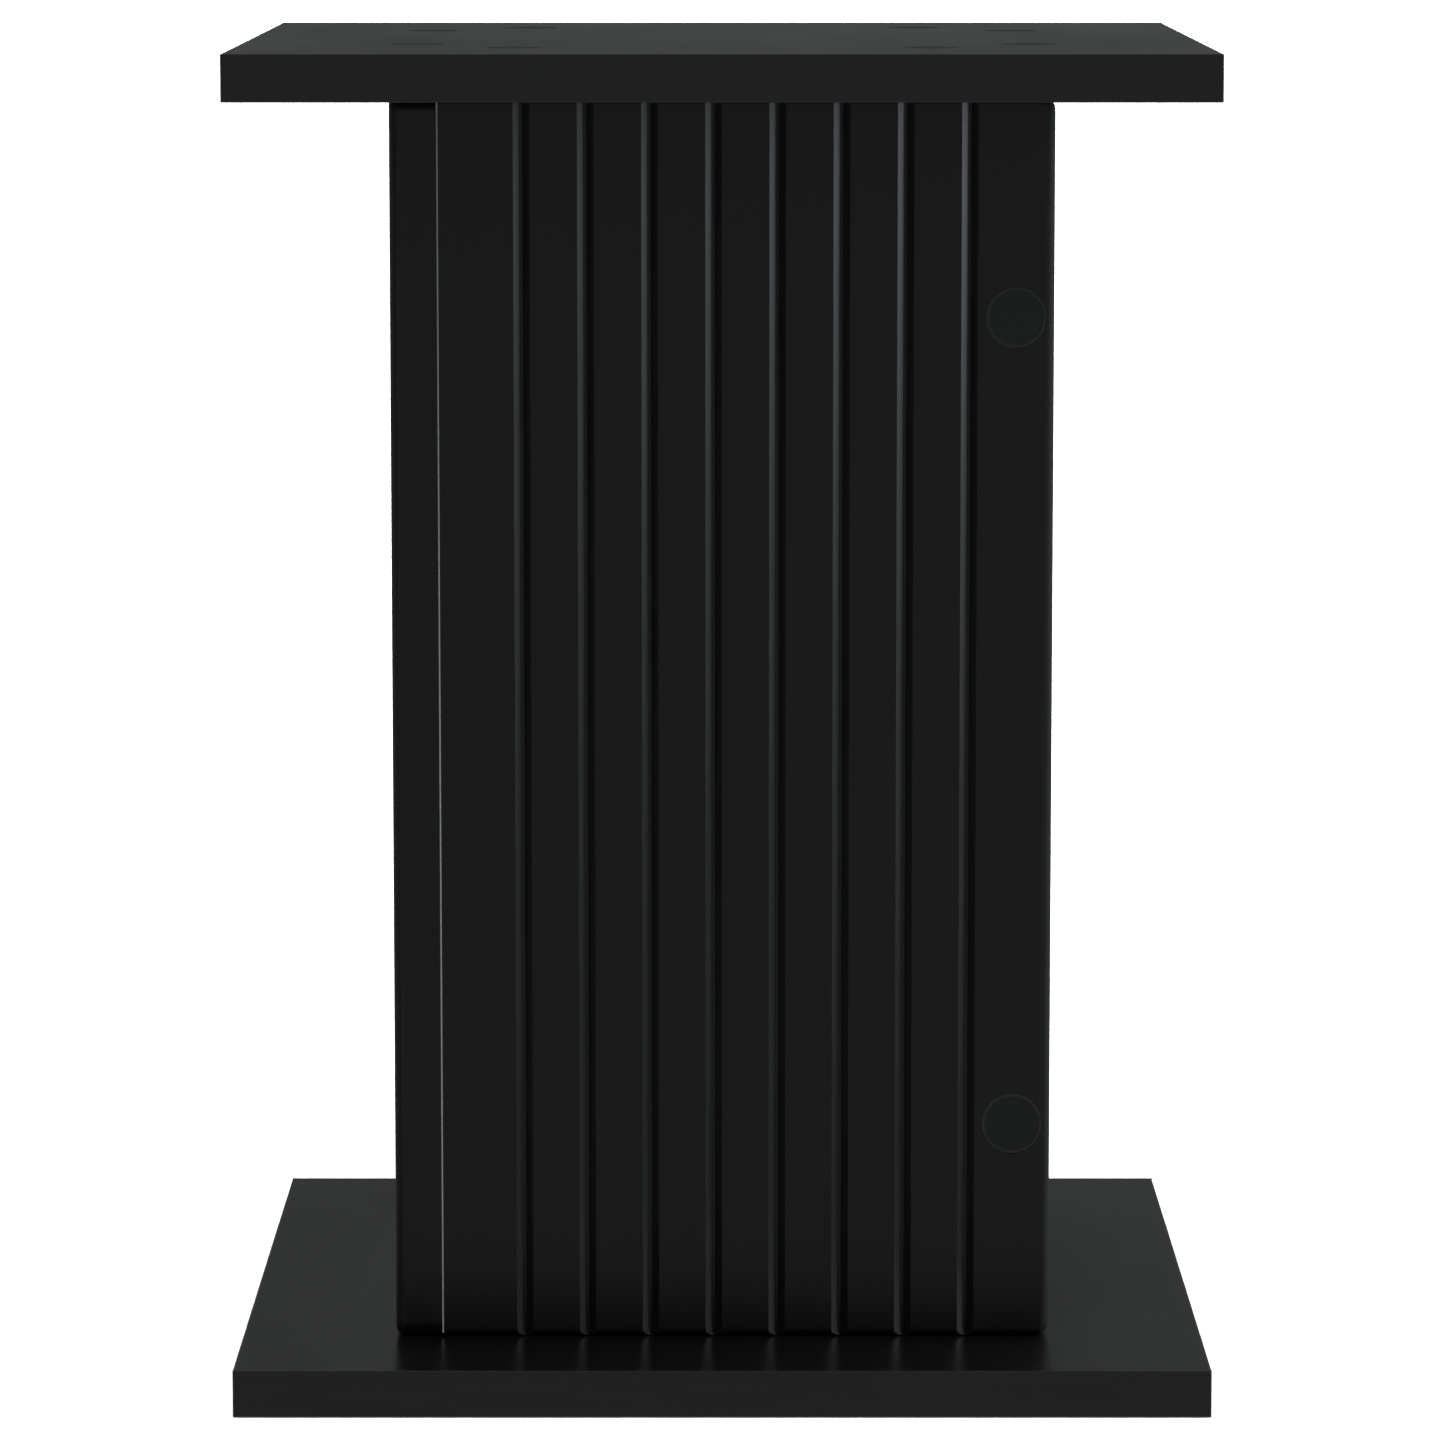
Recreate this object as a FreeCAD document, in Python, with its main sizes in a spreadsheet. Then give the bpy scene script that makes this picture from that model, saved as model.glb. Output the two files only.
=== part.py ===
import FreeCAD, Part
import os
import re

import Sketcher
from FreeCAD import Placement, Rotation, Vector

# A square display plinth in black board: two equal plates, and between them a hollow square column
# of four equal grooved panels. Millimetres, +Z up, origin at the middle of the base's underside.
# The front faces -Y. The panels go round the column like a pinwheel: each one's free end covers the
# edge of the next panel, and its other end, the joint end, butts against the panel before it.

SIZES = {
    # the boards and the column
    "plate_side": 310.0,
    "board_thickness": 15.0,
    "panel_height": 400.0,
    "column_side": 211.0,
    "panel_corner_round": 4.5,
    "panel_edge_round": 2.5,
    "joint_edge_round": 1.0,
    # the strips on the plates' edges
    "band_thickness": 0.8,
    "band_round": 0.5,
    # the V-grooves on a panel's outer face, from the first one's centre line to the last one's
    "groove_count": 8,
    "groove_margin": 26.95,
    "groove_width": 5.3,
    "groove_floor": 0.5,
    "groove_depth": 1.5,
    # the connecting screws: a countersunk head, a plain collar and a thread taken at its core
    "screw_length": 50.0,
    "screw_head_diameter": 10.0,
    "screw_head_height": 3.0,
    "screw_collar_diameter": 7.0,
    "screw_collar_length": 9.0,
    "screw_core_diameter": 5.0,
    "screw_tip_length": 4.0,
    "screw_tip_diameter": 2.0,
    "screw_socket_radius": 2.3,
    "screw_socket_depth": 3.0,
    "screw_clearance": 0.1,
    "screw_end_gap": 2.5,
    # where they go: along a plate from its middle, and along a panel from its two ends
    "plate_screw_offset": 66.0,
    "corner_screw_inset": 70.0,
    # the round covers over the screw heads, flush in shallow seats
    "cover_diameter": 19.5,
    "cover_thickness": 0.4,
    "cover_clearance": 0.15,
    "cover_head_gap": 0.1,
    "base_head_depth": 0.3,
    # the dowels
    "dowel_diameter": 8.0,
    "dowel_length": 30.0,
    "dowel_bevel": 1.0,
    "dowel_face_depth": 10.0,
    "dowel_clearance": 0.05,
    "dowel_end_gap": 1.0,
}
# What follows from them, so that pieces that meet read one value.
DERIVED = {
    "panel_top": "board_thickness + panel_height",
    "overall_height": "panel_top + board_thickness",
    "core_side": "plate_side - 2 * band_thickness",
    "column_half": "column_side / 2",
    "column_inner_half": "column_half - board_thickness",
    "board_middle": "column_half - board_thickness / 2",
    "panel_width": "column_half + column_inner_half",
    "panel_middle": "column_half - panel_width / 2",
    "groove_span": "panel_width - 2 * groove_margin",
    "groove_first": "groove_margin - column_inner_half",
    "upper_screw_level": "panel_top - corner_screw_inset",
    "lower_screw_level": "board_thickness + corner_screw_inset",
    "middle_level": "board_thickness + panel_height / 2",
    "cover_centre": "column_half - panel_edge_round - cover_diameter / 2",
    "seat_radius": "cover_diameter / 2 + cover_clearance",
    "covered_head_depth": "cover_thickness + cover_head_gap",
    "head_hole_radius": "screw_head_diameter / 2 + screw_clearance",
    "collar_hole_radius": "screw_collar_diameter / 2 + screw_clearance",
    "pilot_radius": "screw_core_diameter / 2 + screw_clearance",
    "pilot_depth": "screw_length - board_thickness + screw_end_gap",
    "dowel_hole_radius": "dowel_diameter / 2 + dowel_clearance",
    "dowel_face_hole": "dowel_face_depth + dowel_end_gap",
    "dowel_edge_hole": "dowel_length - dowel_face_depth + dowel_end_gap",
}
NAMES = {**SIZES, **DERIVED}
PAST = 1.0  # how far a cut runs past the face it starts from
SIDES = ("front", "right", "back", "left")
SCREW_LEVELS = ("lower_screw_level", "upper_screw_level")

# A screw, cover, dowel or hole is drawn along +Z and turned to where it points.
UP = Rotation()
DOWN = Rotation(Vector(1, 0, 0), 180)
TO_BACK = Rotation(Vector(1, 0, 0), -90)
TO_RIGHT = Rotation(Vector(0, 1, 0), 90)

doc = FreeCAD.newDocument("DisplayPlinth")
sub_parts = []


def fill_sheet():
    """One row for each size: its name and its number or formula, with the name as the alias."""
    sizes = doc.addObject("Spreadsheet::Sheet", "Sizes")
    for row, (name, value) in enumerate(NAMES.items(), start=1):
        sizes.set(f"A{row}", name)
        sizes.set(f"B{row}", f"={value}" if name in DERIVED else str(value))
        sizes.setAlias(f"B{row}", name)
    doc.recompute()
    return sizes


def bind(thing, at=None, **sizes):
    """Binds properties, and the place if it is given, to expressions written in the sheet's names."""
    paths = dict(zip(("Placement.Base.x", "Placement.Base.y", "Placement.Base.z"), at or ()))
    for path, text in {**paths, **sizes}.items():
        whole = re.sub(r"[a-z_]+", lambda word: "Sizes." * (word[0] in NAMES) + word[0], text)
        thing.setExpression(path, whole)
    return thing


def add(kind, name, at=("0", "0", "0"), turn=UP, **sizes):
    """A primitive of this kind, turned, at a place whose three coordinates are expressions."""
    thing = doc.addObject(kind, name)
    thing.Placement = Placement(Vector(), turn)
    return bind(thing, at, **sizes)


def link(master, name, at=("0", "0", "0"), turn=UP):
    """A copy of a master piece, turned, at a place of its own."""
    copy = doc.addObject("App::Link", name)
    copy.LinkedObject = master
    copy.LinkTransform = False
    copy.Placement = Placement(Vector(), turn)
    return bind(copy, at)


def fuse(name, pieces):
    joined = doc.addObject("Part::MultiFuse", name)
    joined.Shapes = pieces
    return joined


def cut(name, base, tool):
    left = doc.addObject("Part::Cut", name)
    left.Base = base
    left.Tool = tool
    return left


def sub_part(name, copies):
    """One named piece, or one group of like pieces, which gets a file of its own."""
    group = doc.addObject("Part::Compound", name)
    group.Label = name
    group.Links = copies
    group.Placement = Placement()
    sub_parts.append(group)


def spin(quarter):
    """The rotation that carries the front side round the column by so many quarter turns."""
    return Rotation(Vector(0, 0, 1), 90 * quarter)


def spun(across, forward, quarter):
    """A place on the front side, as two expressions, carried round by so many quarter turns."""
    places = (
        (across, forward),
        (f"-({forward})", across),
        (f"-({across})", f"-({forward})"),
        (forward, f"-({across})"),
    )
    return places[quarter]


def plate_screw_places(quarter):
    """Where the two screws through a plate into this side's panel go."""
    return [spun(f"{sign}plate_screw_offset", "-board_middle", quarter) for sign in ("", "-")]


def near(axis, value):
    """A test of whether a point lies at this value along X (0), Y (1) or Z (2)."""
    return lambda point: abs(point[axis] - value) < 1e-4


def edges_on(shape, *tests):
    """The numbers of a shape's edges whose ends all pass the tests."""
    return [
        number
        for number, edge in enumerate(shape.Edges, start=1)
        if all(test(vertex.Point) for test in tests for vertex in edge.Vertexes)
    ]


# The fasteners, the covers and the holes that take them


def make_screw():
    """A countersunk connecting screw, its head's top at the origin, with a hexagon socket."""
    core_start = "screw_head_height + screw_collar_length"
    tip_start = "screw_length - screw_tip_length"
    head = add("Part::Cone", "ScrewHead", Radius1="screw_head_diameter / 2",
               Radius2="screw_collar_diameter / 2", Height="screw_head_height")
    collar = add("Part::Cylinder", "ScrewCollar", ("0", "0", "screw_head_height"),
                 Radius="screw_collar_diameter / 2", Height="screw_collar_length")
    core = add("Part::Cylinder", "ScrewCore", ("0", "0", core_start),
               Radius="screw_core_diameter / 2", Height=f"{tip_start} - ({core_start})")
    tip = add("Part::Cone", "ScrewTip", ("0", "0", tip_start), Radius1="screw_core_diameter / 2",
              Radius2="screw_tip_diameter / 2", Height="screw_tip_length")
    socket = add("Part::Prism", "ScrewSocket", ("0", "0", f"-{PAST}"),
                 Circumradius="screw_socket_radius", Height=f"screw_socket_depth + {PAST}")
    socket.Polygon = 6
    return cut("Screw", fuse("ScrewBody", [head, collar, core, tip]), socket)


def make_screw_hole(name, depth):
    """The hole through a board for one screw, from the board's face, its head this deep in it."""
    head = add("Part::Cylinder", f"{name}Head", ("0", "0", f"-{PAST}"),
               Radius="head_hole_radius", Height=f"{depth} + {PAST}")
    cone = add("Part::Cone", f"{name}Cone", ("0", "0", depth), Radius1="head_hole_radius",
               Radius2="collar_hole_radius", Height="screw_head_height")
    collar = add("Part::Cylinder", f"{name}Collar", ("0", "0", f"{depth} + screw_head_height"),
                 Radius="collar_hole_radius", Height="board_thickness")
    return fuse(name, [head, cone, collar])


def make_dowel():
    """A round dowel with bevelled ends, its face end at the origin."""
    rod = add("Part::Cylinder", "DowelRod", Radius="dowel_diameter / 2", Height="dowel_length")
    doc.recompute()
    ends = edges_on(rod.Shape, near(2, 0)) + edges_on(rod.Shape, near(2, sheet.dowel_length))
    dowel = doc.addObject("Part::Chamfer", "Dowel")
    dowel.Base = rod
    dowel.Edges = [(number, sheet.dowel_bevel, sheet.dowel_bevel) for number in ends]
    return dowel


# The boards


def make_band(name, length, with_ends):
    """The edge strip of a plate's front side, its long outer edges rounded, and its ends or not."""
    strip = add("Part::Box", f"{name}Strip", (f"-({length}) / 2", "-plate_side / 2", "0"),
                Length=length, Width="band_thickness", Height="board_thickness")
    doc.recompute()
    outer = near(1, -sheet.plate_side / 2)
    levels = (near(2, 0), near(2, sheet.board_thickness))
    chosen = [number for level in levels for number in edges_on(strip.Shape, outer, level)]
    if with_ends:
        chosen = edges_on(strip.Shape, outer)
    band = doc.addObject("Part::Fillet", name)
    band.Base = strip
    band.Edges = [(number, sheet.band_round, sheet.band_round) for number in chosen]
    return band


def make_top_plate():
    """The upper board: covered screws from above, dowel holes from below."""
    board = add("Part::Box", "TopBoard", ("-core_side / 2", "-core_side / 2", "panel_top"),
                Length="core_side", Width="core_side", Height="board_thickness")
    hole = make_screw_hole("TopHole", "covered_head_depth")
    cuts = []
    for quarter in range(4):
        for place in plate_screw_places(quarter):
            cuts.append(link(hole, "TopScrewHole", (*place, "overall_height"), DOWN))
            cuts.append(add("Part::Cylinder", "TopSeat", (*place, "overall_height - cover_thickness"),
                            Radius="seat_radius", Height=f"cover_thickness + {PAST}"))
        place = spun("panel_middle", "-board_middle", quarter)
        cuts.append(add("Part::Cylinder", "TopDowelHole", (*place, f"panel_top - {PAST}"),
                        Radius="dowel_hole_radius", Height=f"dowel_face_hole + {PAST}"))
    sub_part("top_plate", [cut("TopCore", board, fuse("TopCuts", cuts))])


def make_base_plate():
    """The lower board: open countersunk screws from below, dowel holes from above."""
    board = add("Part::Box", "BaseBoard", ("-core_side / 2", "-core_side / 2", "0"),
                Length="core_side", Width="core_side", Height="board_thickness")
    hole = make_screw_hole("BaseHole", "base_head_depth")
    cuts = []
    for quarter in range(4):
        for place in plate_screw_places(quarter):
            cuts.append(link(hole, "BaseScrewHole", (*place, "0")))
        place = spun("panel_middle", "-board_middle", quarter)
        cuts.append(add("Part::Cylinder", "BaseDowelHole",
                        (*place, "board_thickness - dowel_face_hole"),
                        Radius="dowel_hole_radius", Height=f"dowel_face_hole + {PAST}"))
    sub_part("base_plate", [cut("BaseCore", board, fuse("BaseCuts", cuts))])


def plane(body, role):
    """One of a body's own origin planes."""
    return [feature for feature in body.Origin.OriginFeatures if feature.Role == role][0]


def round_edges(body, base, numbers, radius):
    """Rounds these edges of a body's feature, with a radius named in the sheet."""
    rounded = body.newObject("PartDesign::Fillet", f"Rounded_{radius}")
    rounded.Base = (base, [f"Edge{number}" for number in numbers])
    bind(rounded, Radius=radius)
    doc.recompute()
    return rounded


def draw_groove(sketch):
    """The first groove's section seen from above: two flanks and a narrow floor."""
    centre, outer = sheet.groove_first, -sheet.column_half
    corners = (
        ("groove_first - groove_width / 2", "-column_half", centre - sheet.groove_width / 2, outer),
        ("groove_first - groove_floor / 2", "groove_depth - column_half",
         centre - sheet.groove_floor / 2, outer + sheet.groove_depth),
        ("groove_first + groove_floor / 2", "groove_depth - column_half",
         centre + sheet.groove_floor / 2, outer + sheet.groove_depth),
        ("groove_first + groove_width / 2", "-column_half", centre + sheet.groove_width / 2, outer),
    )
    for number, (*_, x, y) in enumerate(corners):
        *_, next_x, next_y = corners[(number + 1) % 4]
        sketch.addGeometry(Part.LineSegment(Vector(x, y, 0), Vector(next_x, next_y, 0)))
    for number, (across, forward, x, y) in enumerate(corners):
        sketch.addConstraint(Sketcher.Constraint("Coincident", number, 2, (number + 1) % 4, 1))
        for kind, value, text in (("DistanceX", x, across), ("DistanceY", y, forward)):
            held = sketch.addConstraint(Sketcher.Constraint(kind, -1, 1, number, 1, value))
            bind(sketch, **{f"Constraints[{held}]": text})


def make_panel_board():
    """The front panel before drilling: a board with rounded edges, grooved on its outer face."""
    body = doc.addObject("PartDesign::Body", "PanelBoard")
    block = body.newObject("PartDesign::AdditiveBox", "PanelBlock")
    block.AttachmentSupport = [(plane(body, "XY_Plane"), "")]
    block.MapMode = "FlatFace"
    corner = {"x": "-column_inner_half", "y": "-column_half", "z": "board_thickness"}
    bind(block, Length="panel_width", Width="board_thickness", Height="panel_height",
         **{f"AttachmentOffset.Base.{axis}": text for axis, text in corner.items()})
    doc.recompute()

    free_end = near(0, sheet.column_half)
    joint_end = near(0, -sheet.column_inner_half)
    outer_face = near(1, -sheet.column_half)
    ends = (near(2, sheet.board_thickness), near(2, sheet.panel_top))
    corners = [number for end in ends for number in edges_on(block.Shape, free_end, end)]
    panel = round_edges(body, block, corners, "panel_corner_round")
    joint = edges_on(panel.Shape, outer_face, joint_end)
    rim = [number for number in edges_on(panel.Shape, outer_face) if number not in joint]
    panel = round_edges(body, panel, rim, "panel_edge_round")
    joint = edges_on(panel.Shape, outer_face, joint_end)
    panel = round_edges(body, panel, joint, "joint_edge_round")

    section = body.newObject("Sketcher::SketchObject", "GrooveSection")
    section.AttachmentSupport = [(plane(body, "XY_Plane"), "")]
    section.MapMode = "FlatFace"
    draw_groove(section)
    groove = body.newObject("PartDesign::Pocket", "Groove")
    groove.Profile = section
    groove.Type = "ThroughAll"
    groove.Reversed = True
    doc.recompute()
    grooves = body.newObject("PartDesign::LinearPattern", "Grooves")
    grooves.Originals = [groove]
    grooves.Direction = (section, ["H_Axis"])
    bind(grooves, Length="groove_span", Occurrences="groove_count")
    body.Tip = grooves
    doc.recompute()
    if not grooves.Shape.Volume < groove.Shape.Volume < panel.Shape.Volume:
        raise RuntimeError("the grooves cut nothing")
    return body


def make_panel():
    """The front panel, drilled. Its free end takes two screws and a dowel from its faces, and each
    of its other three ends has pilots for two screws and a hole for a dowel."""
    cuts = []

    def bore(name, radius, height, at, turn=UP):
        cuts.append(add("Part::Cylinder", name, at, turn, Radius=radius, Height=height))

    hole = make_screw_hole("PanelHole", "covered_head_depth")
    for level in SCREW_LEVELS:
        cuts.append(link(hole, "PanelScrewHole", ("board_middle", "-column_half", level), TO_BACK))
        bore("PanelSeat", "seat_radius", f"cover_thickness + {PAST}",
             ("cover_centre", f"-column_half - {PAST}", level), TO_BACK)
        bore("JointPilot", "pilot_radius", f"pilot_depth + {PAST}",
             (f"-column_inner_half - {PAST}", "-board_middle", level), TO_RIGHT)
    for start in ("panel_top - pilot_depth", f"board_thickness - {PAST}"):
        for place in plate_screw_places(0):
            bore("EndPilot", "pilot_radius", f"pilot_depth + {PAST}", (*place, start))
    for start in ("panel_top - dowel_edge_hole", f"board_thickness - {PAST}"):
        bore("EndDowelHole", "dowel_hole_radius", f"dowel_edge_hole + {PAST}",
             ("panel_middle", "-board_middle", start))
    bore("JointDowelHole", "dowel_hole_radius", f"dowel_edge_hole + {PAST}",
         (f"-column_inner_half - {PAST}", "-board_middle", "middle_level"), TO_RIGHT)
    bore("FaceDowelHole", "dowel_hole_radius", f"dowel_face_hole + {PAST}",
         ("board_middle", "-column_inner_half - dowel_face_hole", "middle_level"), TO_BACK)
    return cut("Panel", make_panel_board(), fuse("PanelCuts", cuts))


# The assembly


def place_bands():
    """Four strips round each plate: the front and back ones cover the ends of the other two."""
    long_band = make_band("LongBand", "plate_side", True)
    short_band = make_band("ShortBand", "core_side", False)
    for plate, level in (("top_plate", "panel_top"), ("base_plate", "0")):
        for quarter, side in enumerate(SIDES):
            master = short_band if quarter % 2 else long_band
            copy = link(master, "Band", ("0", "0", level), spin(quarter))
            sub_part(f"{plate}_band_{side}", [copy])


def place_panels():
    """The four panels, each with the two screws and two covers near its free end."""
    for quarter, side in enumerate(SIDES):
        turn = spin(quarter) * TO_BACK
        head = spun("board_middle", "covered_head_depth - column_half", quarter)
        face = spun("cover_centre", "-column_half", quarter)
        sub_part(f"panel_{side}", [link(panel, "PanelCopy", turn=spin(quarter))])
        sub_part(f"panel_{side}_screws",
                 [link(screw, "CornerScrew", (*head, level), turn) for level in SCREW_LEVELS])
        sub_part(f"panel_{side}_covers",
                 [link(cover, "CornerCover", (*face, level), turn) for level in SCREW_LEVELS])


def place_plate_fasteners():
    """Eight screws through each plate, covers over the upper ones, and a dowel for each panel."""
    places = [place for quarter in range(4) for place in plate_screw_places(quarter)]
    middles = [spun("panel_middle", "-board_middle", quarter) for quarter in range(4)]
    upper, lower = "overall_height - covered_head_depth", "base_head_depth"
    lid = "overall_height - cover_thickness"
    sub_part("top_plate_screws", [link(screw, "TopScrew", (*at, upper), DOWN) for at in places])
    sub_part("top_plate_covers", [link(cover, "TopCover", (*at, lid)) for at in places])
    sub_part("base_plate_screws", [link(screw, "BaseScrew", (*at, lower)) for at in places])
    upper, lower = "panel_top + dowel_face_depth", "board_thickness - dowel_face_depth"
    sub_part("top_dowels", [link(dowel, "TopDowel", (*at, upper), DOWN) for at in middles])
    sub_part("base_dowels", [link(dowel, "BaseDowel", (*at, lower)) for at in middles])


def place_corner_dowels():
    """One dowel at mid-height in each corner, from a panel's inner face into the next one's end."""
    dowels = []
    for quarter in range(4):
        place = spun("board_middle", "-column_inner_half - dowel_face_depth", quarter)
        dowels.append(link(dowel, "CornerDowel", (*place, "middle_level"), spin(quarter) * TO_BACK))
    sub_part("corner_dowels", dowels)


def check_document():
    """Stops if anything in the document has failed or a sub-part has no sound solid."""
    failed = [thing.Name for thing in doc.Objects if {"Invalid", "Error"} & set(thing.State)]
    if failed:
        raise RuntimeError(f"these objects failed: {failed}")
    for part in sub_parts:
        if part.Shape.isNull() or not part.Shape.isValid() or not part.Shape.Solids:
            raise RuntimeError(f"{part.Label} has no valid solid")


def write_parts():
    """Writes each sub-part's solids to a file named after it."""
    os.makedirs("parts", exist_ok=True)
    for part in sub_parts:
        solids = part.Shape.Solids
        shape = solids[0] if len(solids) == 1 else Part.makeCompound(solids)
        shape.exportStep(f"parts/{part.Label}.step")
        print(f"{part.Label}: {len(solids)} solid(s), {shape.Volume:.1f} cubic mm")


sheet = fill_sheet()
screw = make_screw()
cover = add("Part::Cylinder", "Cover", Radius="cover_diameter / 2", Height="cover_thickness")
dowel = make_dowel()
panel = make_panel()
make_top_plate()
make_base_plate()
place_bands()
place_panels()
place_plate_fasteners()
place_corner_dowels()
doc.recompute()
check_document()
write_parts()
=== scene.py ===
"""A black display plinth: two square plates and a grooved square column, on a pale studio floor."""

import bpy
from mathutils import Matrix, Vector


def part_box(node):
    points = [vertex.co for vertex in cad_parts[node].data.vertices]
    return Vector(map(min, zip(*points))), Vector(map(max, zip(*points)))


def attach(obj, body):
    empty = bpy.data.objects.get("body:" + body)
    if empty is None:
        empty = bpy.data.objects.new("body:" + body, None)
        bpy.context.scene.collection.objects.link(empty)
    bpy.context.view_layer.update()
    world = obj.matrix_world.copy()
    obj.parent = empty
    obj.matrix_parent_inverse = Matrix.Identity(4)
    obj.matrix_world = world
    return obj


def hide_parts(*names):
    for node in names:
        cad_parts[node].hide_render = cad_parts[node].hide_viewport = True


bl_info = {
    "name": "Display Plinth",
    "version": (1, 0, 0),
    "blender": (4, 5, 0),
    "location": "View3D > Sidebar > Plinth",
    "description": "Finishes the display plinth's boards, panels, covers and screws, and its stage",
    "category": "Object",
}

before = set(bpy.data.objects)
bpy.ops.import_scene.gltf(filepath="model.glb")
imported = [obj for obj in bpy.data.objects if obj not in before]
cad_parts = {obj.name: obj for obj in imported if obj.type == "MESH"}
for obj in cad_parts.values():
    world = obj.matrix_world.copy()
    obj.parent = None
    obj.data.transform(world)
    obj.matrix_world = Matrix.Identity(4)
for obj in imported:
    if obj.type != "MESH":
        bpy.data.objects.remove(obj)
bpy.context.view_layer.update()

import math

import bmesh
import bpy
from mathutils import Matrix, Vector

MM = 0.001
SIDES = ("front", "right", "back", "left")
PLATES = ("top_plate", "base_plate")
PANEL_LOW, PANEL_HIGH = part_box("panel_front")
COVER_LOW, COVER_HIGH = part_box("panel_front_covers")
# The room's brightness, as stops along one part of a direction that runs from -1 at 0 to 1 at 1.
# In front and behind it changes with height, and each is multiplied by how it changes across.
AHEAD_BY_HEIGHT = ((0.0, 0.4), (0.33, 0.3), (0.40, 0.17), (0.47, 0.29), (0.51, 0.3), (0.57, 0.13),
                   (0.7, 0.1), (0.85, 0.3), (1.0, 0.4))
AHEAD_ACROSS = ((0.0, 0.2), (0.11, 0.15), (0.2, 1.7), (0.3, 1.7), (0.38, 1.0), (0.62, 1.0),
                (0.7, 2.0), (0.82, 2.0), (0.9, 1.15), (1.0, 1.15))
BEHIND_BY_HEIGHT = ((0.0, 0.4), (0.40, 0.3), (0.47, 0.2), (0.50, 0.18), (0.56, 0.128),
                    (0.62, 0.125), (0.75, 0.17), (1.0, 0.25))
BEHIND_ACROSS = ((0.0, 3.0), (0.2, 3.0), (0.36, 1.0), (0.64, 1.0), (0.8, 3.0), (1.0, 3.0))
# The part of a direction that points away from the camera, where the room in front starts and stops
# going over to the room behind.
AHEAD_ENDS, BEHIND_STARTS = -0.35, 0.1
ROOM_TINT = "#f8fffc"
LAMP_TINT = "#f2f5ff"
SKYLIGHT_IRRADIANCE, SKYLIGHT_SPREAD = 5.9, 60
SOFTBOX_PLACE, SOFTBOX_TARGET = (1.84, -0.45, 0.62), (0, 0, 0.35)
SOFTBOX_WIDTH, SOFTBOX_HEIGHT, SOFTBOX_RADIANCE = 0.67, 0.83, 10.2
CAMERA_PLACE = (0.00012, -2.2964, 0.5066)
CAMERA_DOWN = 7.571
CAMERA_LENS = 172.25
FLOOR_REACH = 60.0
# How far the floor lies under the base, so that the two faces aren't in one plane.
FLOOR_GAP = 0.2 * MM
# Where a noise pattern has most of its values.
NOISE_LOW, NOISE_HIGH = 0.3, 0.7
# How nearly a rounded edge's normal agrees with its face's where wear starts, and where it is full.
WEAR_STARTS, WEAR_FULL = 0.998, 0.88
# The column's rounded corners, rubbed dull: how far in from its sides that starts and is full.
RUB_STARTS, RUB_FULL = 3.2 * MM, 2.2 * MM
RUBBED_ROUGHNESS = 0.78


def linear(hex_colour):
    """An sRGB hex colour as the linear red, green, blue and alpha that Blender's sockets take."""
    values = [int(hex_colour[start:start + 2], 16) / 255 for start in (1, 3, 5)]
    return (*(v / 12.92 if v <= 0.04045 else ((v + 0.055) / 1.055) ** 2.4 for v in values), 1.0)


def per_metre(millimetres):
    """The pattern scale whose features are about this many millimetres apart."""
    return 1 / (millimetres * MM)


def length(name, description, default_mm):
    return bpy.props.FloatProperty(name=name, description=description, default=default_mm * MM,
                                   min=0.0, precision=5, subtype="DISTANCE", unit="LENGTH")


def colour(name, description, hex_colour):
    return bpy.props.FloatVectorProperty(name=name, description=description, size=4, min=0.0,
                                         max=1.0, default=linear(hex_colour), subtype="COLOR")


class PlinthSizes(bpy.types.PropertyGroup):
    """The sizes of what is added to the boards."""
    seam_width: length("Seam width", "Width of the pale line in each corner of the column", 0.55)
    seam_sink: length("Seam sink", "How far the pale line lies behind the panel's face", 0.1)
    seam_depth: length("Seam depth", "How far the pale line reaches into the joint", 1.0)
    seam_end: length("Seam end", "How far the pale line stops short of the panel's ends", 1.2)
    cover_rim: length("Cover rim", "Radius of the soft edge round a cover", 0.12)
    cover_ring: length("Cover ring", "Width of the raised ring round a cover", 0.9)
    cover_dish: length("Cover dish", "How far a cover's middle lies below its ring", 0.06)
    screw_offset: length("Screw offset", "From a plate's middle to a screw, along its side", 66.0)


class PlinthColours(bpy.types.PropertyGroup):
    """The colours of the finishes and the floor."""
    melamine: colour("Melamine", "The plates' black melamine face", "#050505")
    band: colour("Edge band", "The plates' black edge strips", "#070707")
    foil: colour("Foil", "The grooved panels' black foil", "#060606")
    wear: colour("Worn edge", "Black finish rubbed thin along an edge", "#242424")
    # The seam colour is a painted highlight: the pale strip in each corner stands for a thin bright line
    # of light along the joint.
    seam: colour("Seam highlight", "The bare board edge in the column's corners", "#aeafae")
    cap: colour("Cover", "The screw covers' moulded plastic", "#070707")
    rim: colour("Cover rim", "The paler rim of a screw cover", "#1e1e1e")
    zinc: colour("Zinc", "The screws' zinc plating", "#b9bbb8")
    beech: colour("Beech", "The dowels' wood", "#c49a68")
    floor: colour("Floor", "The pale studio floor", "#f4f4f4")


# Materials


def add_node(tree, kind, settings=None, inputs=None):
    """Adds a node with its settings. Each input is a value, or the node (its first output) or the
    output socket that feeds it."""
    made = tree.nodes.new(kind)
    for name, value in (settings or {}).items():
        setattr(made, name, value)
    for name, value in (inputs or {}).items():
        if isinstance(value, bpy.types.Node):
            value = value.outputs[0]
        if isinstance(value, bpy.types.NodeSocket):
            tree.links.new(value, made.inputs[name])
        else:
            made.inputs[name].default_value = value
    return made


def start_finish(name):
    """A new material's empty tree, and the point in the object's own frame."""
    material = bpy.data.materials.new(name)
    material.use_nodes = True
    tree = material.node_tree
    tree.nodes.clear()
    return material, tree, add_node(tree, "ShaderNodeTexCoord").outputs["Object"]


def shade(plain, amount):
    """This much of a colour, still opaque."""
    return (*[amount * part for part in plain[:3]], 1.0)


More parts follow.
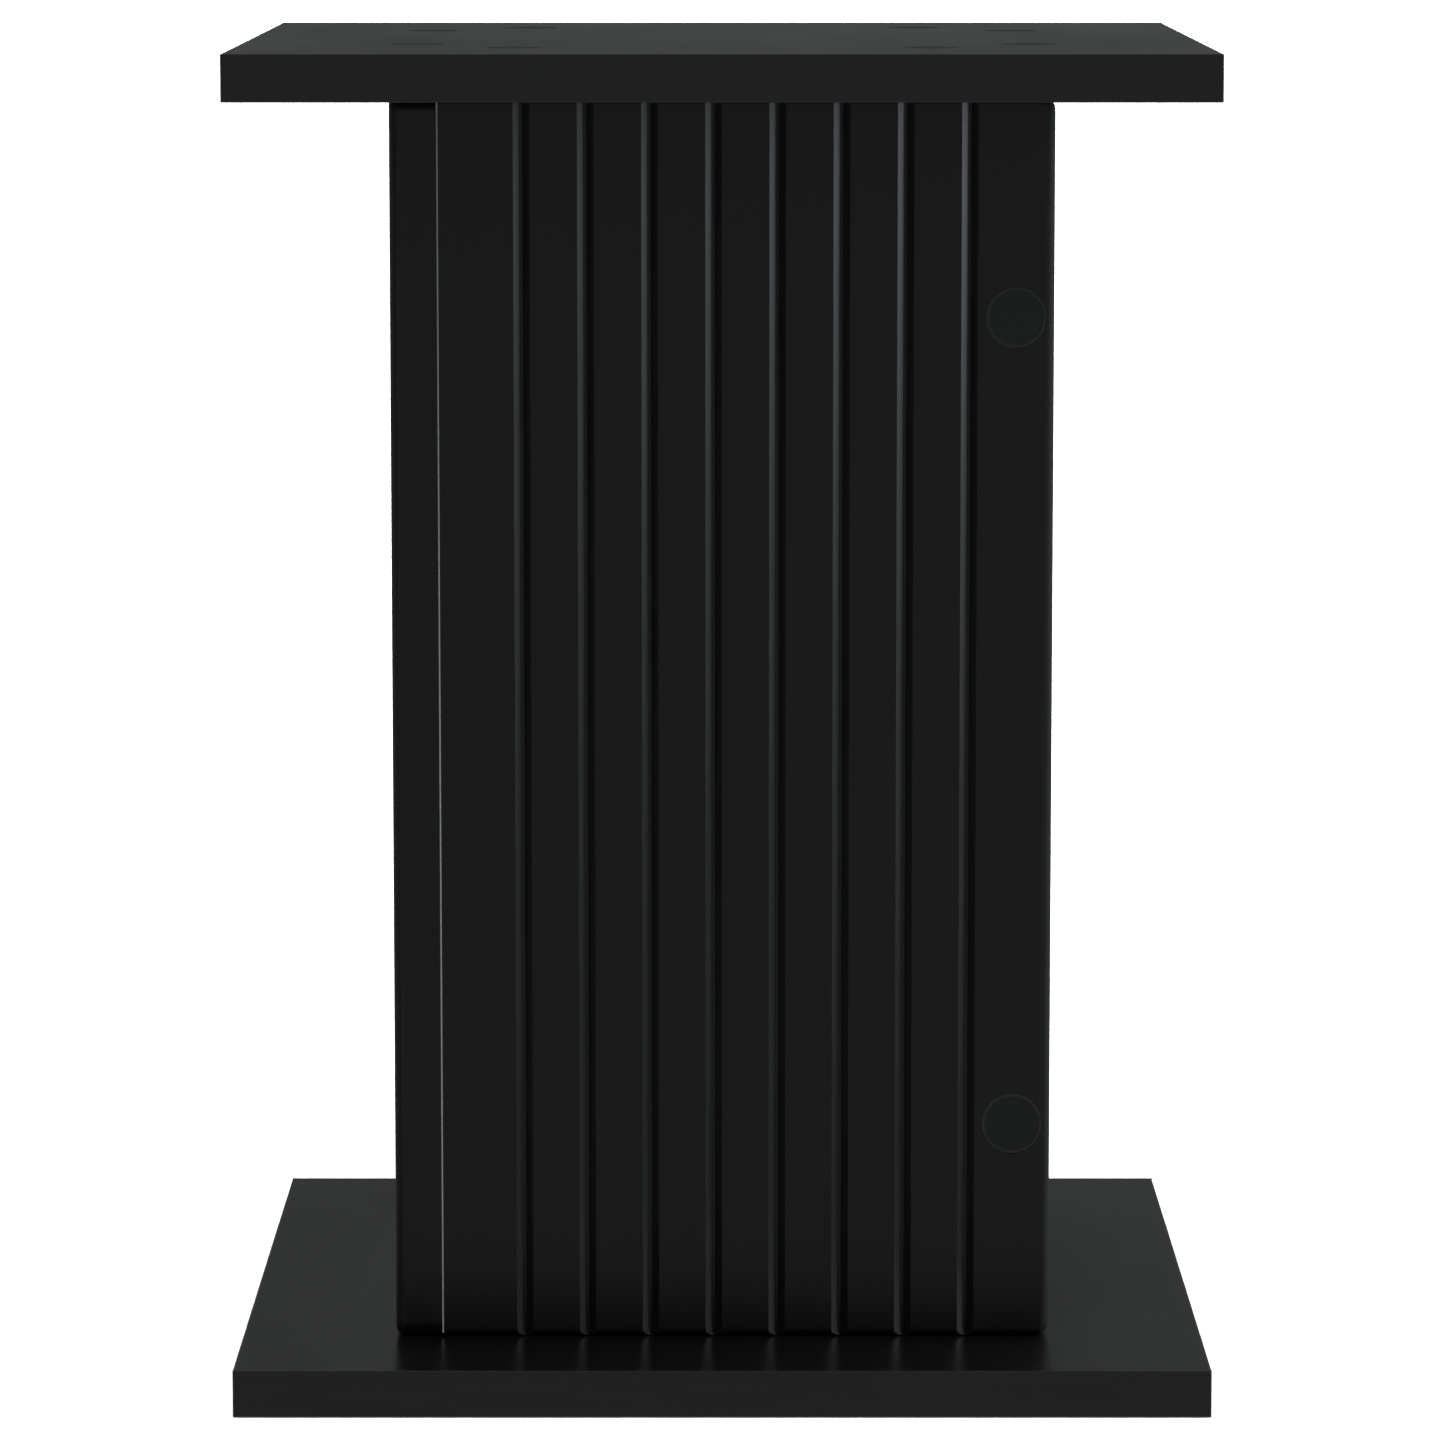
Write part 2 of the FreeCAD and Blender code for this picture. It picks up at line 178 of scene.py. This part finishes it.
def end_finish(tree, **inputs):
    """The shader fed with these inputs, and the material's output."""
    shader = add_node(tree, "ShaderNodeBsdfPrincipled", {}, inputs)
    add_node(tree, "ShaderNodeOutputMaterial", {}, {"Surface": shader})


def worn_edges(tree, place, plain, worn, radius_mm, patch_mm):
    """The plain colour, going over to the worn one in patches along the sharp edges."""
    soft = add_node(tree, "ShaderNodeBevel", {"samples": 4}, {"Radius": radius_mm * MM})
    flat = add_node(tree, "ShaderNodeNewGeometry")
    same = add_node(tree, "ShaderNodeVectorMath", {"operation": "DOT_PRODUCT"},
                    {0: soft, 1: flat.outputs["Normal"]})
    edge = add_node(tree, "ShaderNodeMapRange", {},
                    {"Value": same.outputs["Value"], "From Min": WEAR_STARTS,
                     "From Max": WEAR_FULL})
    patch = add_node(tree, "ShaderNodeTexNoise", {},
                     {"Vector": place, "Scale": per_metre(patch_mm), "Detail": 3.0})
    amount = add_node(tree, "ShaderNodeMath", {"operation": "MULTIPLY"}, {0: edge, 1: patch})
    mixed = add_node(tree, "ShaderNodeMix", {"data_type": "RGBA"}, {0: amount, 6: plain, 7: worn})
    return mixed.outputs[2]


def black_melamine(colours):
    """Melamine-faced board: printed paper under pressed resin, which leaves a smooth satin skin
    with a pearl too fine to feel, and wiped marks that show only in the gloss."""
    material, tree, place = start_finish("BlackMelamine")
    drawn = add_node(tree, "ShaderNodeMapping", {}, {"Vector": place, "Scale": (1.0, 0.35, 1.0)})
    wiped = add_node(tree, "ShaderNodeTexNoise", {},
                     {"Vector": drawn, "Scale": per_metre(70), "Detail": 3.0})
    pearl = add_node(tree, "ShaderNodeTexNoise", {},
                     {"Vector": place, "Scale": per_metre(0.9), "Detail": 1.0})
    rough = add_node(tree, "ShaderNodeMapRange", {},
                     {"Value": wiped, "From Min": NOISE_LOW, "From Max": NOISE_HIGH,
                      "To Min": 0.26, "To Max": 0.34})
    relief = add_node(tree, "ShaderNodeBump", {}, {"Height": pearl, "Distance": 0.004 * MM})
    skin = worn_edges(tree, place, colours.melamine, colours.wear, 0.5, 9)
    end_finish(tree, **{"Base Color": skin, "Roughness": rough, "Normal": relief, "IOR": 1.5})
    return material


def black_band(colours):
    """ABS edge strip: extruded, so its faint streaks run along the edge, then trimmed and scraped,
    which leaves its long edges a little paler."""
    material, tree, place = start_finish("BlackEdgeBand")
    drawn = add_node(tree, "ShaderNodeMapping", {}, {"Vector": place, "Scale": (0.02, 0.02, 1.0)})
    streaks = add_node(tree, "ShaderNodeTexNoise", {},
                       {"Vector": drawn, "Scale": per_metre(0.7), "Detail": 2.0})
    rough = add_node(tree, "ShaderNodeMapRange", {},
                     {"Value": streaks, "From Min": NOISE_LOW, "From Max": NOISE_HIGH,
                      "To Min": 0.28, "To Max": 0.36})
    relief = add_node(tree, "ShaderNodeBump", {}, {"Height": streaks, "Distance": 0.004 * MM})
    skin = worn_edges(tree, place, colours.band, colours.wear, 0.6, 12)
    end_finish(tree, **{"Base Color": skin, "Roughness": rough, "Normal": relief, "IOR": 1.58})
    return material


def black_foil(colours):
    """Foil pressed over grooved fibreboard: satin, with a faint upright drag from the wrapping, the
    board's soft telegraphed unevenness, corners that handling has rubbed dull, and a finish
    rubbed thin along the grooves' lips."""
    material, tree, place = start_finish("BlackFoil")
    drawn = add_node(tree, "ShaderNodeMapping", {}, {"Vector": place, "Scale": (1.0, 1.0, 0.03)})
    drag = add_node(tree, "ShaderNodeTexNoise", {},
                    {"Vector": drawn, "Scale": per_metre(1.1), "Detail": 2.0})
    uneven = add_node(tree, "ShaderNodeTexNoise", {},
                      {"Vector": place, "Scale": per_metre(45), "Detail": 1.0})
    smooth = add_node(tree, "ShaderNodeMapRange", {},
                      {"Value": drag, "From Min": NOISE_LOW, "From Max": NOISE_HIGH,
                       "To Min": 0.28, "To Max": 0.34})
    parts = add_node(tree, "ShaderNodeSeparateXYZ", {}, {"Vector": place})
    across = add_node(tree, "ShaderNodeMath", {"operation": "ABSOLUTE"}, {0: parts.outputs["X"]})
    forward = add_node(tree, "ShaderNodeMath", {"operation": "ABSOLUTE"}, {0: parts.outputs["Y"]})
    outward = add_node(tree, "ShaderNodeMath", {"operation": "MINIMUM"}, {0: across, 1: forward})
    rough = add_node(tree, "ShaderNodeMapRange", {},
                     {"Value": outward, "From Min": PANEL_HIGH.x - RUB_STARTS,
                      "From Max": PANEL_HIGH.x - RUB_FULL,
                      "To Min": smooth, "To Max": RUBBED_ROUGHNESS})
    height = add_node(tree, "ShaderNodeMath", {"operation": "MULTIPLY_ADD"},
                      {0: drag, 1: 0.05, 2: uneven})
    relief = add_node(tree, "ShaderNodeBump", {}, {"Height": height, "Distance": 0.06 * MM})
    skin = worn_edges(tree, place, colours.foil, colours.wear, 0.35, 14)
    end_finish(tree, **{"Base Color": skin, "Roughness": rough, "Normal": relief, "IOR": 1.48})
    return material


def painted_seam_highlight(colours):
    """A painted highlight: a pale matt strip that stands for the thin bright line of light along the
    joint in each corner of the column, slightly uneven in tone along its length."""
    material, tree, place = start_finish("PaintedSeamHighlight")
    mottle = add_node(tree, "ShaderNodeTexNoise", {},
                     {"Vector": place, "Scale": per_metre(2.5), "Detail": 3.0})
    dark = shade(colours.seam, 0.6)
    tone = add_node(tree, "ShaderNodeMix", {"data_type": "RGBA"}, {0: mottle, 6: colours.seam, 7: dark})
    relief = add_node(tree, "ShaderNodeBump", {}, {"Height": mottle, "Distance": 0.03 * MM})
    end_finish(tree, **{"Base Color": tone.outputs[2], "Roughness": 0.7, "Normal": relief})
    return material


def cover_plastic(name, plain):
    """A screw cover moulded in polypropylene: duller than the boards, with a fine spark-eroded
    grain from its mould. The ring round its rim is finished in its own, paler colour."""
    material, tree, place = start_finish(name)
    grain = add_node(tree, "ShaderNodeTexNoise", {},
                     {"Vector": place, "Scale": per_metre(0.35), "Detail": 1.0})
    rough = add_node(tree, "ShaderNodeMapRange", {},
                     {"Value": grain, "From Min": NOISE_LOW, "From Max": NOISE_HIGH,
                      "To Min": 0.74, "To Max": 0.86})
    relief = add_node(tree, "ShaderNodeBump", {}, {"Height": grain, "Distance": 0.012 * MM})
    end_finish(tree, **{"Base Color": plain, "Roughness": rough, "Normal": relief, "IOR": 1.56})
    return material


def zinc_plate(colours):
    """A zinc-plated steel screw: bright metal under a cloudy passivated skin."""
    material, tree, place = start_finish("ZincPlate")
    cloud = add_node(tree, "ShaderNodeTexNoise", {},
                     {"Vector": place, "Scale": per_metre(3), "Detail": 3.0})
    rough = add_node(tree, "ShaderNodeMapRange", {},
                     {"Value": cloud, "From Min": NOISE_LOW, "From Max": NOISE_HIGH,
                      "To Min": 0.25, "To Max": 0.45})
    dull = shade(colours.zinc, 0.7)
    tone = add_node(tree, "ShaderNodeMix", {"data_type": "RGBA"}, {0: cloud, 6: colours.zinc, 7: dull})
    relief = add_node(tree, "ShaderNodeBump", {}, {"Height": cloud, "Distance": 0.01 * MM})
    end_finish(tree, **{"Base Color": tone.outputs[2], "Roughness": rough, "Normal": relief,
                        "Metallic": 1.0})
    return material


def beech_wood(colours):
    """A turned beech dowel: plain pale wood with short flecks along its grain."""
    material, tree, place = start_finish("BeechDowel")
    drawn = add_node(tree, "ShaderNodeMapping", {}, {"Vector": place, "Scale": (1.0, 1.0, 0.15)})
    flecks = add_node(tree, "ShaderNodeTexNoise", {},
                      {"Vector": drawn, "Scale": per_metre(0.8), "Detail": 3.0})
    dark = shade(colours.beech, 0.6)
    tone = add_node(tree, "ShaderNodeMix", {"data_type": "RGBA"}, {0: flecks, 6: colours.beech, 7: dark})
    relief = add_node(tree, "ShaderNodeBump", {}, {"Height": flecks, "Distance": 0.03 * MM})
    end_finish(tree, **{"Base Color": tone.outputs[2], "Roughness": 0.6, "Normal": relief})
    return material


def studio_floor(colours):
    """A matt painted board floor, nearly white, with a very slightly uneven roughness, and clear from
    below so that the plinth's underside can be looked at."""
    material, tree, place = start_finish("StudioFloor")
    cloud = add_node(tree, "ShaderNodeTexNoise", {},
                     {"Vector": place, "Scale": per_metre(300), "Detail": 3.0})
    rough = add_node(tree, "ShaderNodeMapRange", {}, {"Value": cloud, "To Min": 0.85, "To Max": 0.95})
    side = add_node(tree, "ShaderNodeNewGeometry")
    solid = add_node(tree, "ShaderNodeMath", {"operation": "SUBTRACT"},
                     {0: 1.0, 1: side.outputs["Backfacing"]})
    end_finish(tree, **{"Base Color": colours.floor, "Roughness": rough, "Alpha": solid,
                        "Specular IOR Level": 0.0})
    return material


# Pieces


def finish_node(name, material):
    """Gives a carried-over CAD node its finish."""
    piece = bpy.data.objects[name]
    piece.data.materials.clear()
    piece.data.materials.append(material)


def new_piece(name, shape, materials):
    """A finished bmesh as an object at the origin that stays with the plinth."""
    mesh = bpy.data.meshes.new(name)
    bmesh.ops.recalc_face_normals(shape, faces=shape.faces)
    shape.to_mesh(mesh)
    shape.free()
    for material in materials:
        mesh.materials.append(material)
    piece = bpy.data.objects.new(name, mesh)
    bpy.context.scene.collection.objects.link(piece)
    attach(piece, "root")
    return piece


def quarter_turn(count):
    """The turn that takes a piece of the front panel to the panel this many places further round."""
    return Matrix.Rotation(count * math.pi / 2, 4, "Z")


class PLINTH_OT_boards(bpy.types.Operator):
    """Finish the two plates in black melamine and their edges in black strip"""
    bl_idname = "plinth.boards"
    bl_label = "Plates and edge bands"

    def execute(self, context):
        colours = context.scene.plinth_colours
        face, band = black_melamine(colours), black_band(colours)
        for plate in PLATES:
            finish_node(plate, face)
            for side in SIDES:
                finish_node(f"{plate}_band_{side}", band)
        return {"FINISHED"}


class PLINTH_OT_panels(bpy.types.Operator):
    """Finish the four grooved panels in black foil"""
    bl_idname = "plinth.panels"
    bl_label = "Grooved panels"

    def execute(self, context):
        foil = black_foil(context.scene.plinth_colours)
        for side in SIDES:
            finish_node(f"panel_{side}", foil)
        return {"FINISHED"}


class PLINTH_OT_seams(bpy.types.Operator):
    """Add the thin pale strip in each corner of the column, a painted highlight along the joint"""
    bl_idname = "plinth.seams"
    bl_label = "Corner seams"

    def execute(self, context):
        sizes = context.scene.plinth_sizes
        highlight = painted_seam_highlight(context.scene.plinth_colours)
        low, high = PANEL_LOW, PANEL_HIGH
        size = Vector((sizes.seam_width, sizes.seam_depth, high.z - low.z - 2 * sizes.seam_end))
        centre = Vector((low.x + size.x / 2, low.y + sizes.seam_sink + size.y / 2, (low.z + high.z) / 2))
        for count, side in enumerate(SIDES):
            shape = bmesh.new()
            bmesh.ops.create_cube(shape, size=1.0)
            bmesh.ops.scale(shape, vec=size, verts=shape.verts)
            bmesh.ops.bevel(shape, geom=shape.edges[:], offset=sizes.seam_width / 5, segments=2,
                            profile=0.5, affect="EDGES", material=-1)
            bmesh.ops.translate(shape, vec=centre, verts=shape.verts)
            bmesh.ops.transform(shape, matrix=quarter_turn(count), verts=shape.verts)
            # Each strip is a painted highlight along the corner joint.
            new_piece(f"corner_seam_highlight_{side}", shape, [highlight])
        return {"FINISHED"}


def cover_shape(radius, thickness, sizes):
    """A round cover lying on the XY plane: a soft rim, a raised ring and a slightly dished middle."""
    shape = bmesh.new()
    bmesh.ops.create_circle(shape, cap_ends=True, segments=96, radius=radius)
    face = next(iter(shape.faces))
    face.normal_update()
    if face.normal.z < 0:
        bmesh.ops.reverse_faces(shape, faces=[face])
    raised = bmesh.ops.extrude_face_region(shape, geom=[face])["geom"]
    top = [part for part in raised if isinstance(part, bmesh.types.BMFace)]
    rim = [part for part in raised if isinstance(part, bmesh.types.BMVert)]
    bmesh.ops.translate(shape, vec=(0, 0, thickness), verts=rim)
    bmesh.ops.inset_region(shape, faces=top, thickness=sizes.cover_ring)
    bmesh.ops.inset_region(shape, faces=top, thickness=sizes.cover_ring / 2, depth=-sizes.cover_dish)
    near = thickness / 100
    edges = [edge for edge in shape.edges
             if all(v.co.z > thickness - near and v.co.xy.length > radius - near for v in edge.verts)]
    bmesh.ops.bevel(shape, geom=edges, offset=sizes.cover_rim, segments=3, profile=0.5,
                    affect="EDGES", material=-1)
    for face in shape.faces:
        face.material_index = int(face.calc_center_median().xy.length > radius - sizes.cover_ring)
    return shape


def seated_cover(radius, thickness, sizes, place):
    """A cover turned and moved to its seat."""
    disc = cover_shape(radius, thickness, sizes)
    bmesh.ops.transform(disc, matrix=place, verts=disc.verts)
    return disc


def join_shapes(shapes):
    """One bmesh from several."""
    whole = bmesh.new()
    for shape in shapes:
        mesh = bpy.data.meshes.new("Part")
        shape.to_mesh(mesh)
        shape.free()
        whole.from_mesh(mesh)
        bpy.data.meshes.remove(mesh)
    return whole


class PLINTH_OT_covers(bpy.types.Operator):
    """Model the round covers over the screw heads"""
    bl_idname = "plinth.covers"
    bl_label = "Screw covers"

    def execute(self, context):
        sizes = context.scene.plinth_sizes
        colours = context.scene.plinth_colours
        plastic = [cover_plastic("CoverPlastic", colours.cap), cover_plastic("CoverRim", colours.rim)]
        radius = (COVER_HIGH.x - COVER_LOW.x) / 2
        thickness = COVER_HIGH.y - COVER_LOW.y
        outward = Matrix.Rotation(math.pi / 2, 4, "X")
        for count, side in enumerate(SIDES):
            discs = []
            for level in (COVER_LOW.z + radius, COVER_HIGH.z - radius):
                seat = Matrix.Translation((COVER_LOW.x + radius, COVER_HIGH.y, level))
                discs.append(seated_cover(radius, thickness, sizes, quarter_turn(count) @ seat @ outward))
            piece = new_piece(f"panel_{side}_cover_caps", join_shapes(discs), plastic)
            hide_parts(f"panel_{side}_covers")
        low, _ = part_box("top_plate_covers")
        discs = []
        for count in range(len(SIDES)):
            for across in (-sizes.screw_offset, sizes.screw_offset):
                seat = Matrix.Translation((across, low.y + radius, low.z))
                discs.append(seated_cover(radius, thickness, sizes, quarter_turn(count) @ seat))
        piece = new_piece("top_plate_cover_caps", join_shapes(discs), plastic)
        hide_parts("top_plate_covers")
        return {"FINISHED"}


class PLINTH_OT_fasteners(bpy.types.Operator):
    """Finish the screws in zinc and the dowels in beech"""
    bl_idname = "plinth.fasteners"
    bl_label = "Screws and dowels"

    def execute(self, context):
        colours = context.scene.plinth_colours
        zinc, beech = zinc_plate(colours), beech_wood(colours)
        for board in (*PLATES, *(f"panel_{side}" for side in SIDES)):
            finish_node(f"{board}_screws", zinc)
        for name in ("top_dowels", "base_dowels", "corner_dowels"):
            finish_node(name, beech)
        return {"FINISHED"}


# Stage


def add_floor(colours):
    """A level floor as wide as the eye can reach, which the plinth doesn't mirror."""
    shape = bmesh.new()
    bmesh.ops.create_grid(shape, x_segments=2, y_segments=2, size=FLOOR_REACH,
                          matrix=Matrix.Translation((0, 0, -FLOOR_GAP)))
    mesh = bpy.data.meshes.new("studio_floor")
    shape.to_mesh(mesh)
    shape.free()
    mesh.materials.append(studio_floor(colours))
    floor = bpy.data.objects.new("studio_floor", mesh)
    bpy.context.scene.collection.objects.link(floor)
    floor.visible_glossy = False
    floor.visible_diffuse = False
    floor.visible_shadow = False


def add_lamp(name, kind, place, target, **settings):
    """A lamp of this kind facing a point."""
    data = bpy.data.lights.new(name, kind)
    for setting, value in settings.items():
        setattr(data, setting, value)
    lamp = bpy.data.objects.new(name, data)
    lamp.location = place
    lamp.rotation_euler = (Vector(target) - Vector(place)).to_track_quat("-Z", "Y").to_euler()
    bpy.context.scene.collection.objects.link(lamp)
    return lamp


def add_softbox(name, place, target, width, height, radiance):
    """A soft rectangular lamp whose face is this bright."""
    return add_lamp(name, "AREA", place, target, shape="RECTANGLE", size=width, size_y=height,
                    energy=radiance * math.pi * width * height, color=linear(LAMP_TINT)[:3])


def add_skylight(irradiance, spread):
    """Even light from above, which whitens the floor and isn't mirrored by the plinth."""
    lamp = add_lamp("Skylight", "SUN", (0, 0, 4), (0, 0, 0), energy=irradiance,
                    angle=math.radians(spread))
    lamp.visible_glossy = False


def add_levels(tree, part, stops):
    """Brightness by one part of a direction, which runs from -1 at 0 to 1 at 1."""
    scale = add_node(tree, "ShaderNodeMapRange", {}, {"Value": part, "From Min": -1.0})
    ramp = add_node(tree, "ShaderNodeValToRGB", {}, {"Fac": scale})
    ends = ramp.color_ramp.elements
    ends[0].position, ends[1].position = stops[0][0], stops[-1][0]
    for place, _ in stops[1:-1]:
        ends.new(place)
    for element, (_, level) in zip(ends, stops):
        element.color = (level, level, level, 1)
    return ramp.outputs["Color"]


def add_world():
    """White to look at, and for what falls on the plinth a dim room, paler in front than behind."""
    world = bpy.data.worlds.new("Studio")
    bpy.context.scene.world = world
    world.use_nodes = True
    tree = world.node_tree
    tree.nodes.clear()
    way = add_node(tree, "ShaderNodeTexCoord").outputs["Generated"]
    parts = add_node(tree, "ShaderNodeSeparateXYZ", {}, {"Vector": way})
    halves = [add_node(tree, "ShaderNodeMix", {"data_type": "RGBA", "blend_type": "MULTIPLY"},
                       {0: 1.0, 6: add_levels(tree, parts.outputs["Z"], by_height),
                        7: add_levels(tree, parts.outputs["X"], across)}).outputs[2]
              for by_height, across in ((AHEAD_BY_HEIGHT, AHEAD_ACROSS),
                                        (BEHIND_BY_HEIGHT, BEHIND_ACROSS))]
    side = add_node(tree, "ShaderNodeMapRange", {"interpolation_type": "SMOOTHSTEP"},
                    {"Value": parts.outputs["Y"], "From Min": AHEAD_ENDS, "From Max": BEHIND_STARTS})
    levels = add_node(tree, "ShaderNodeMix", {"data_type": "RGBA"},
                      {0: side, 6: halves[0], 7: halves[1]})
    tinted = add_node(tree, "ShaderNodeMix", {"data_type": "RGBA", "blend_type": "MULTIPLY"},
                      {0: 1.0, 6: levels.outputs[2], 7: linear(ROOM_TINT)})
    room = add_node(tree, "ShaderNodeBackground", {}, {"Color": tinted.outputs[2]})
    white = add_node(tree, "ShaderNodeBackground", {}, {"Color": linear("#ffffff")})
    path = add_node(tree, "ShaderNodeLightPath")
    seen = add_node(tree, "ShaderNodeMixShader", {},
                    {0: path.outputs["Is Camera Ray"], 1: room, 2: white})
    add_node(tree, "ShaderNodeOutputWorld", {}, {"Surface": seen})


def add_camera():
    """A little above the top plate and looking down, far off, with a long lens."""
    camera = bpy.data.objects.new("Camera", bpy.data.cameras.new("Camera"))
    camera.data.sensor_width = 36.0
    camera.data.lens = CAMERA_LENS
    camera.location = CAMERA_PLACE
    camera.rotation_euler = (math.radians(90 - CAMERA_DOWN), 0, 0)
    camera.data.clip_start, camera.data.clip_end = 0.05, 200.0
    bpy.context.scene.collection.objects.link(camera)
    bpy.context.scene.camera = camera


class PLINTH_OT_stage(bpy.types.Operator):
    """Lay the floor, hang the lamps and set the camera"""
    bl_idname = "plinth.stage"
    bl_label = "Stage"

    def execute(self, context):
        add_floor(context.scene.plinth_colours)
        add_world()
        add_skylight(SKYLIGHT_IRRADIANCE, SKYLIGHT_SPREAD)
        add_softbox("RightSoftbox", SOFTBOX_PLACE, SOFTBOX_TARGET, SOFTBOX_WIDTH, SOFTBOX_HEIGHT,
                    SOFTBOX_RADIANCE)
        add_camera()
        context.scene.view_settings.view_transform = "Standard"
        return {"FINISHED"}


class PLINTH_PT_sidebar(bpy.types.Panel):
    """The steps, and the sizes and colours that they use"""
    bl_idname = "PLINTH_PT_sidebar"
    bl_label = "Display Plinth"
    bl_space_type = "VIEW_3D"
    bl_region_type = "UI"
    bl_category = "Plinth"

    def draw(self, context):
        for step in STEPS:
            self.layout.operator(step.bl_idname)
        for group in (context.scene.plinth_sizes, context.scene.plinth_colours):
            for name in group.__annotations__:
                self.layout.prop(group, name)


STEPS = (PLINTH_OT_boards, PLINTH_OT_panels, PLINTH_OT_seams, PLINTH_OT_covers,
         PLINTH_OT_fasteners, PLINTH_OT_stage)
CLASSES = (PlinthSizes, PlinthColours, *STEPS, PLINTH_PT_sidebar)


def register():
    for made in CLASSES:
        bpy.utils.register_class(made)
    bpy.types.Scene.plinth_sizes = bpy.props.PointerProperty(type=PlinthSizes)
    bpy.types.Scene.plinth_colours = bpy.props.PointerProperty(type=PlinthColours)


def unregister():
    del bpy.types.Scene.plinth_colours
    del bpy.types.Scene.plinth_sizes
    for made in reversed(CLASSES):
        bpy.utils.unregister_class(made)


def main():
    """Builds the whole scene."""
    register()
    for step in STEPS:
        group, name = step.bl_idname.split(".")
        getattr(getattr(bpy.ops, group), name)()


if __name__ == "__main__":
    main()
